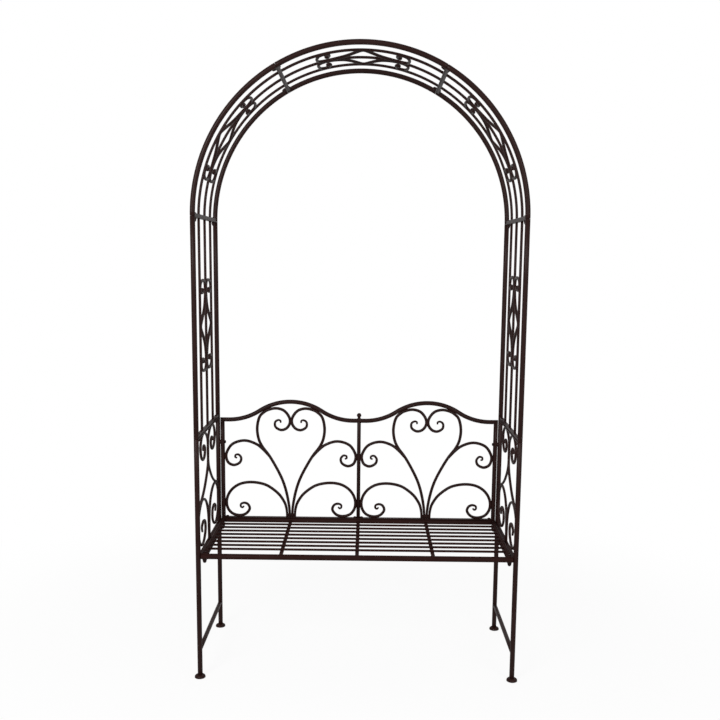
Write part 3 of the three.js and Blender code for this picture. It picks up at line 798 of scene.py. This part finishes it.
def make_arch():
    length = SPRING_HEIGHT - BENCH_HEIGHT
    for hand, side in HANDS:
        kinds = ("square", "strip")
        make_section(f"arch_{hand}_upright", upright_place(side), length, kinds, STRAIGHT_STEPS)
    length = ARCH_RADIUS * SECTION_ANGLE
    curves = [
        ("arch_right_curve", SECTION_ANGLE, ("square", "square")),
        ("arch_crown", 0, ("strip", "square")),
        ("arch_left_curve", -SECTION_ANGLE, ("strip", "square")),
    ]
    for name, turn, kinds in curves:
        make_section(name, bent_place(turn), length, kinds, BEND_STEPS)


# Bolts, drawn on Z with the head up

def add_head(shape, matrix, face, radius, height):
    """A domed head on a low rim with a bevelled foot."""
    rim_share, foot_share, foot_radius_share, steps = 0.3, 0.3, 0.97, 7
    rim = height * rim_share
    profile = [(0, face), (radius * foot_radius_share, face), (radius, face + rim * foot_share)]
    for i in range(steps):
        angle = math.pi / 2 * i / steps
        profile.append((radius * math.cos(angle), face + rim + (height - rim) * math.sin(angle)))
    profile.append((0, face + height))
    shape.turned(profile, matrix, HEAD_SIDES)


def add_cap_nut(shape, matrix, face, share):
    """A hexagon with turned-down corners, then a dome, pointing down from the face."""
    turn = Matrix.Rotation(math.pi, 4, "X")
    flip = matrix @ Matrix.Translation((0, 0, face)) @ turn @ Matrix.Scale(share, 4)
    hexagon_shares = [(0, 0), (0.9, 0), (1, 0.1), (1, 0.85), (0.88, 1), (0, 1)]
    hexagon = [(NUT_RADIUS * wide, NUT_HEX_HEIGHT * high) for wide, high in hexagon_shares]
    shape.turned(hexagon, flip, 6, smooth=False)
    steps, fullness = 8, 0.8
    dome = [(0, NUT_HEX_HEIGHT / 2), (DOME_RADIUS, NUT_HEX_HEIGHT / 2)]
    for i in range(steps):
        angle = math.pi / 2 * i / steps
        rise = (NUT_HEIGHT - NUT_HEX_HEIGHT) * math.sin(angle)
        dome.append((DOME_RADIUS * math.cos(angle) ** fullness, NUT_HEX_HEIGHT + rise))
    dome.append((0, NUT_HEIGHT))
    shape.turned(dome, flip, HEAD_SIDES)


def add_shank(shape, matrix, low, high, radius=BOLT_RADIUS):
    shape.turned([(0, low), (radius, low), (radius, high), (0, high)], matrix, SHANK_SIDES)


def make_cap_nut_bolt(name, matrix, nut_face, head_face, nut_share=1, washer=False):
    shape = Shape()
    if washer:
        add_shank(shape, matrix, nut_face - WASHER_THICKNESS, nut_face, WASHER_RADIUS)
    add_shank(shape, matrix, nut_face - NUT_HEX_HEIGHT / 2, head_face + HEAD_HEIGHT / 3)
    add_head(shape, matrix, head_face, HEAD_RADIUS, HEAD_HEIGHT)
    add_cap_nut(shape, matrix, nut_face, nut_share)
    shape.piece(f"{name}_fastener", BOLT_PAINT, "bolt_paint", f"{name}_bolt")


def make_joint_bolts():
    gap = CLEARANCE / 2 + CLEARANCE  # half of the one between the two bars, and that under a nut or a head
    nut_face = -gap - STRIP_THICKNESS
    head_face = gap + SQUARE_SIDE
    for hand, side in HANDS:
        lean = side * (math.pi / 2 - SECTION_ANGLE)
        crown = (ARCH_RADIUS * math.sin(lean), SPRING_HEIGHT + ARCH_RADIUS * math.cos(lean))
        joints = [
            ("bench", (side * ARCH_RADIUS, BENCH_HEIGHT), 0),
            ("spring", (side * ARCH_RADIUS, SPRING_HEIGHT), 0),
            ("crown", crown, math.pi / 2 + lean),
        ]
        for joint, (x, z), turn in joints:
            for end, way in ENDS:
                spot = Matrix.Translation((x, way * JOINT_BOLT_ACROSS, z))
                matrix = spot @ Matrix.Rotation(turn, 4, "Y")
                make_cap_nut_bolt(f"{joint}_{hand}_{end}_joint", matrix, nut_face, head_face)


# Bench sides

def make_foot(hand, side, end, way):
    steps = 8
    collar = TUBE_RADIUS + FOOT_COLLAR
    profile = [(0, 0), (FOOT_RADIUS - FOOT_BEVEL, 0), (FOOT_RADIUS, FOOT_BEVEL), (FOOT_RADIUS, FOOT_EDGE)]
    for i in range(1, steps + 1):
        angle = math.pi / 2 * i / steps
        radius = collar + (FOOT_RADIUS - collar) * math.cos(angle)
        profile.append((radius, FOOT_EDGE + (FOOT_HEIGHT - FOOT_EDGE) * math.sin(angle)))
    profile.append((0, FOOT_HEIGHT))
    shape = Shape()
    shape.turned(profile, Matrix.Translation((side * ARCH_RADIUS, way * HALF_DEPTH, 0)), FOOT_SIDES)
    shape.piece(f"{hand}_{end}_disc_foot", FOOT_PAINT, "foot_paint", f"{hand}_{end}_foot")


def make_post(hand, side, end, way):
    x, y = side * (ARCH_RADIUS - TUBE_BUILD), way * HALF_DEPTH
    low, high = FOOT_HEIGHT - SINK, BENCH_HEIGHT - CLEARANCE
    shape = Shape()
    shape.bar(straight((x, y, low), (x, y, high)), TUBE_RADIUS + TUBE_BUILD, TUBE_SIDES)
    shape.piece(f"{hand}_{end}_pipe_post", PAINT, "frame_paint", f"{hand}_{end}_post")


def make_stretcher(hand, side):
    x = side * ARCH_RADIUS
    reach = HALF_DEPTH - TUBE_RADIUS + SINK
    path = straight((x, -reach, STRETCHER_HEIGHT), (x, reach, STRETCHER_HEIGHT))
    shape = Shape()
    shape.bar(path, STRETCHER_RADIUS + STRETCHER_BUILD, RAIL_SIDES)
    shape.piece(f"{hand}_stretcher_pipe", PAINT, "frame_paint", f"{hand}_stretcher")


def make_ledge(hand, side):
    """A flat bar that is notched at both ends round the seat rails and runs on to the posts."""
    inner = side * (SIDE_RAIL_PLACE - SIDE_RAIL_RADIUS)
    outer = side * (ARCH_RADIUS + TUBE_RADIUS)
    notch = side * (SEAT_END + CLEARANCE)
    reach = HALF_DEPTH - TUBE_RADIUS + SINK
    wide_reach = HALF_DEPTH - SEAT_RAIL_RADIUS - CLEARANCE
    low, high = LEDGE_HEIGHT - LEDGE_THICKNESS, LEDGE_HEIGHT
    shape = Shape()
    shape.box((min(inner, outer), -wide_reach, low), (max(inner, outer), wide_reach, high))
    xs = sorted((notch, outer))
    for way in (-1, 1):
        ys = sorted((way * (wide_reach - SINK), way * reach))
        shape.box((xs[0], ys[0], low), (xs[1], ys[1], high))
    shape.piece(f"{hand}_ledge_bar", SEAT_PAINT, "frame_paint", f"{hand}_seat_ledge")


def scroll_path(shares, side, near, far, place):
    points = [place(side * (near + across * (far - near)), up) for across, up in shares]
    return faired(spline(points))


def make_side_scrolls(hand, side):
    """The flat strip on top of a bench side, and the four scrolls under it."""
    x = side * ARCH_RADIUS
    half_width = STRIP_WIDTH / 2
    strip_top = BENCH_HEIGHT - CLEARANCE / 2
    strip_bottom = strip_top - STRIP_THICKNESS
    inside = HALF_DEPTH - TUBE_RADIUS
    reach = inside + SINK
    shape = Shape()
    shape.box((x - half_width, -reach, strip_bottom), (x + half_width, reach, strip_top))
    near = SIDE_SCROLL_RADIUS - OVERLAP
    far = inside - CLEARANCE - SIDE_SCROLL_RADIUS
    low = LEDGE_HEIGHT + CLEARANCE
    high = strip_bottom - SIDE_SCROLL_RADIUS + OVERLAP
    upper_low = low + (2 * SIDE_SCROLL_RADIUS - OVERLAP) / (1 - SIDE_CREST_SHARES[1])
    rows = [
        (LOWER_SIDE_SCROLL_SHARES, low, (None, SIDE_SCROLL_TIP)),
        (UPPER_SIDE_SCROLL_SHARES, upper_low, (SIDE_SCROLL_TIP, None)),
    ]
    for shares, start, tips in rows:

        def place(across, up):
            return x, across, start + up * (high - start)

        for half in (-1, 1):
            path = scroll_path(shares, half, near, far, place)
            shape.bar(path, SIDE_SCROLL_RADIUS + PAINT_BUILD, THIN_BAR_SIDES, tips)
    shape.piece(f"{hand}_scrollwork", PAINT, "frame_paint", f"{hand}_side_scrolls")


def make_bench_side(hand, side):
    for end, way in ENDS:
        make_foot(hand, side, end, way)
        make_post(hand, side, end, way)
    make_stretcher(hand, side)
    make_ledge(hand, side)
    make_side_scrolls(hand, side)


# Seat

def make_seat_rails():
    for end, way in ENDS:
        rail = Shape()
        y = way * HALF_DEPTH
        path = straight((-SEAT_END, y, SEAT_MIDDLE), (SEAT_END, y, SEAT_MIDDLE), SEAT_RAIL_STEPS)
        rail.bar(path, SEAT_RAIL_RADIUS, TUBE_SIDES)
        rail.piece(f"seat_{end}_pipe", SEAT_PAINT, "frame_paint", f"seat_{end}_rail")
    reach = HALF_DEPTH - SEAT_RAIL_RADIUS + SINK
    for hand, side in HANDS:
        rail = Shape()
        x = side * SIDE_RAIL_PLACE
        path = straight((x, -reach, SEAT_MIDDLE), (x, reach, SEAT_MIDDLE))
        rail.bar(path, SIDE_RAIL_RADIUS, TUBE_SIDES)
        rail.piece(f"seat_{hand}_pipe", SEAT_PAINT, "frame_paint", f"seat_{hand}_rail")


def make_slats():
    """The round slats between the side rails, and the flat cross bars under them."""
    slats = Shape()
    height = SEAT_MIDDLE + SLAT_RISE
    width = SIDE_RAIL_PLACE - SIDE_RAIL_RADIUS + SINK
    for i in range(SLAT_COUNT):
        y = (i - (SLAT_COUNT - 1) / 2) * SLAT_PITCH
        path = straight((-width, y, height), (width, y, height), SLAT_STEPS)
        slats.bar(path, SLAT_RADIUS + PAINT_BUILD)
    reach = HALF_DEPTH - SEAT_RAIL_RADIUS + SINK
    half = CROSS_BAR_WIDTH / 2
    top = height - SLAT_RADIUS + OVERLAP
    for row in ROWS:
        x = row * CROSS_BAR_PITCH
        slats.box((x - half, -reach, top - CROSS_BAR_THICKNESS), (x + half, reach, top))
    slats.piece("seat_slat_grid", SEAT_PAINT, "frame_paint", "seat_slats")


def make_seat_bolts():
    nut_face = LEDGE_HEIGHT - LEDGE_THICKNESS - CLEARANCE
    head_face = SEAT_MIDDLE + SIDE_RAIL_RADIUS + CLEARANCE
    for hand, side in HANDS:
        for end, way in ENDS:
            matrix = Matrix.Translation((side * SIDE_RAIL_PLACE, way * SEAT_BOLT_ACROSS, 0))
            name = f"seat_{hand}_{end}"
            make_cap_nut_bolt(name, matrix, nut_face, head_face, nut_share=SEAT_NUT_SHARE, washer=True)


# Backrest

def rail_height(distance, under=0):
    """Height of the top rail's middle line, or of a line that runs parallel to it, `under` it."""
    run = HEART_PLACE - VALLEY_LENGTH / 2 if distance < HEART_PLACE else SHOULDER_START - HEART_PLACE
    radius = (run**2 + LOBE_RISE**2) / (4 * LOBE_RISE)
    from_crest = abs(distance - HEART_PLACE)
    from_level = max(run - from_crest, 0)
    if from_crest < run / 2 * (radius - under) / radius:
        return SHOULDER_HEIGHT + LOBE_RISE - radius + math.sqrt((radius - under) ** 2 - from_crest**2)
    return SHOULDER_HEIGHT + radius - math.sqrt((radius + under) ** 2 - from_level**2)


def make_top_rail(hand, side):
    path = []
    for i in range(TOP_RAIL_STEPS + 1):
        distance = BACK_POST_PLACE * i / TOP_RAIL_STEPS
        path.append((side * distance, HALF_DEPTH, rail_height(distance)))
    shape = Shape()
    shape.bar(np.array(path), BACK_TUBE_RADIUS + PAINT_BUILD, RAIL_SIDES, mitre=(side, 0, -1))
    shape.piece(f"back_crest_{hand}", PAINT, "frame_paint", f"back_top_rail_{hand}")


def make_back_post(hand, side):
    x = side * BACK_POST_PLACE
    path = straight((x, HALF_DEPTH, BACK_BASE - CLEARANCE), (x, HALF_DEPTH, SHOULDER_HEIGHT))
    shape = Shape()
    shape.bar(path, BACK_TUBE_RADIUS + PAINT_BUILD, RAIL_SIDES, mitre=(side, 0, -1))
    shape.piece(f"back_{hand}_upright", PAINT, "frame_paint", f"back_{hand}_post")


def make_centre_post():
    """The middle post, which runs on through the top rail into a neck and a ball."""
    ball_middle = rail_height(0) + BALL_RISE
    neck_angle = math.asin(NECK_RADIUS / BALL_RADIUS)
    neck_top = ball_middle - BALL_RADIUS * math.cos(neck_angle)
    shoulder = neck_top - NECK_RADIUS
    radius = CENTRE_POST_RADIUS + PAINT_BUILD
    profile = [
        (0, BACK_BASE - CLEARANCE),
        (radius, BACK_BASE - CLEARANCE),
        (radius, shoulder),
        (NECK_RADIUS + NECK_FLARE, shoulder + NECK_FLARE_HEIGHT),
        (NECK_RADIUS, neck_top),
    ]
    for i in range(1, BALL_STEPS):
        angle = neck_angle + (math.pi - neck_angle) * i / BALL_STEPS
        profile.append((BALL_RADIUS * math.sin(angle), ball_middle - BALL_RADIUS * math.cos(angle)))
    profile.append((0, ball_middle + BALL_RADIUS))
    shape = Shape()
    shape.turned(profile, Matrix.Translation((0, HALF_DEPTH, 0)), TUBE_SIDES)
    shape.piece("back_centre_spindle", PAINT, "frame_paint", "back_centre_post")


def make_bottom_strip():
    """The flat strip under the posts and scrolls, with the heads of the bolts that hold it to the seat."""
    shape = Shape()
    reach = BACK_POST_PLACE + BACK_TUBE_RADIUS
    half = BACK_STRIP_WIDTH / 2
    shape.box((-reach, HALF_DEPTH - half, BACK_STRIP_BOTTOM), (reach, HALF_DEPTH + half, BACK_STRIP_TOP))
    outer = BACK_POST_PLACE - BASE_BOLT_INSET
    for x in (-outer, -CENTRE_BOLT_OFFSET, CENTRE_BOLT_OFFSET, outer):
        matrix = Matrix.Translation((x, HALF_DEPTH, 0))
        add_head(shape, matrix, BACK_STRIP_TOP, BASE_HEAD_RADIUS, BASE_HEAD_HEIGHT)
    shape.piece("back_base_strip", PAINT, "frame_paint", "back_bottom_strip")


def make_back_scrolls(hand, side):
    """A heart with two pairs of scrolls, and the beads where they touch the posts and each other."""
    radius = BACK_SCROLL_RADIUS + BACK_SCROLL_BUILD
    near = radius - OVERLAP
    second = near + 2 * radius - OVERLAP
    far = HEART_PLACE - CENTRE_POST_RADIUS - CLEARANCE - BACK_SCROLL_RADIUS
    under = BACK_TUBE_RADIUS + CLEARANCE + BACK_SCROLL_RADIUS

    def place(across, up):
        x = side * HEART_PLACE + across
        return x, HALF_DEPTH, BACK_BASE + up * (rail_height(abs(x), under) - BACK_BASE)

    rows = [
        (HEART_SHARES, near, (BACK_SCROLL_FOOT, BACK_SCROLL_TIP)),
        (UPPER_BACK_SCROLL_SHARES, near, (None, BACK_SCROLL_TIP)),
        (LOWER_BACK_SCROLL_SHARES, second, (BACK_SCROLL_FOOT, BACK_SCROLL_TIP)),
    ]
    shape = Shape()
    for shares, start, tips in rows:
        touching = [up for across, up in shares if across == 1]
        for half in (-1, 1):
            shape.bar(scroll_path(shares, half, start, far, place), radius, BAR_SIDES, tips)
            for up in touching:
                shape.bead(place(half * (far + BACK_SCROLL_RADIUS), up), (0, 0, 1), *SCROLL_BEAD)
    bead_middle = BACK_BASE + HEART_FOOT_BEAD[0] / 2
    for row in ROWS:
        x = side * HEART_PLACE + row * 2 * radius
        shape.bead((x, HALF_DEPTH, bead_middle), (0, 0, 1), *HEART_FOOT_BEAD)
    shape.piece(f"back_scrollwork_{hand}", PAINT, "frame_paint", f"back_scrolls_{hand}")


def make_clip_bolt(hand, side):
    """A bolt that holds a backrest post to a rear post, with a spacer between them."""
    turn = Matrix.Rotation(-side * math.pi / 2, 4, "Y")
    matrix = Matrix.Translation((0, HALF_DEPTH, CLIP_HEIGHT)) @ turn
    head_face = -(BACK_POST_FACE - CLEARANCE)
    outer = ARCH_RADIUS - TUBE_RADIUS / 2
    inner = BACK_POST_PLACE + BACK_TUBE_RADIUS / 2
    shape = Shape()
    add_head(shape, matrix, head_face, CLIP_RADIUS, CLIP_HEAD_HEIGHT)
    add_shank(shape, matrix, -ARCH_RADIUS, head_face + CLIP_HEAD_HEIGHT / 2)
    add_shank(shape, matrix, -outer, -inner, CLIP_SPACER_RADIUS)
    shape.piece(f"back_{hand}_clip_fastener", BOLT_PAINT, "bolt_paint", f"back_{hand}_clip_bolt")


def make_backrest():
    for hand, side in HANDS:
        make_top_rail(hand, side)
        make_back_post(hand, side)
        make_back_scrolls(hand, side)
        make_clip_bolt(hand, side)
    make_centre_post()
    make_bottom_strip()


make_camera()
make_world()
make_floor()
make_lamps()
bpy.context.scene.view_settings.view_transform = "Standard"

PAINT = painted_steel(
    "brown_powder_coat",
    dark=(0.0137, 0.0046, 0.0037),
    light=(0.0182, 0.0069, 0.0058),
    roughness=0.46,
    gloss=0.12,
    grain=0.12 * MM,
)
SEAT_PAINT = painted_steel(
    "brown_seat_coat",
    dark=(0.0160, 0.0056, 0.0046),
    light=(0.0212, 0.0082, 0.0070),
    roughness=0.66,
    gloss=0.04,
    grain=0.12 * MM,
)
FOOT_PAINT = painted_steel(
    "brown_foot_coat",
    dark=(0.0165, 0.0058, 0.0048),
    light=(0.0220, 0.0090, 0.0075),
    roughness=0.42,
    gloss=0.1,
    grain=0.12 * MM,
)
BOLT_PAINT = painted_steel(
    "brown_bolt_coat",
    dark=(0.0120, 0.0042, 0.0034),
    light=(0.0165, 0.0064, 0.0053),
    roughness=0.34,
    gloss=0.1,
    grain=0.06 * MM,
)

for hand, side in HANDS:
    make_bench_side(hand, side)
make_seat_rails()
make_slats()
make_seat_bolts()
make_backrest()
make_arch()
make_joint_bolts()
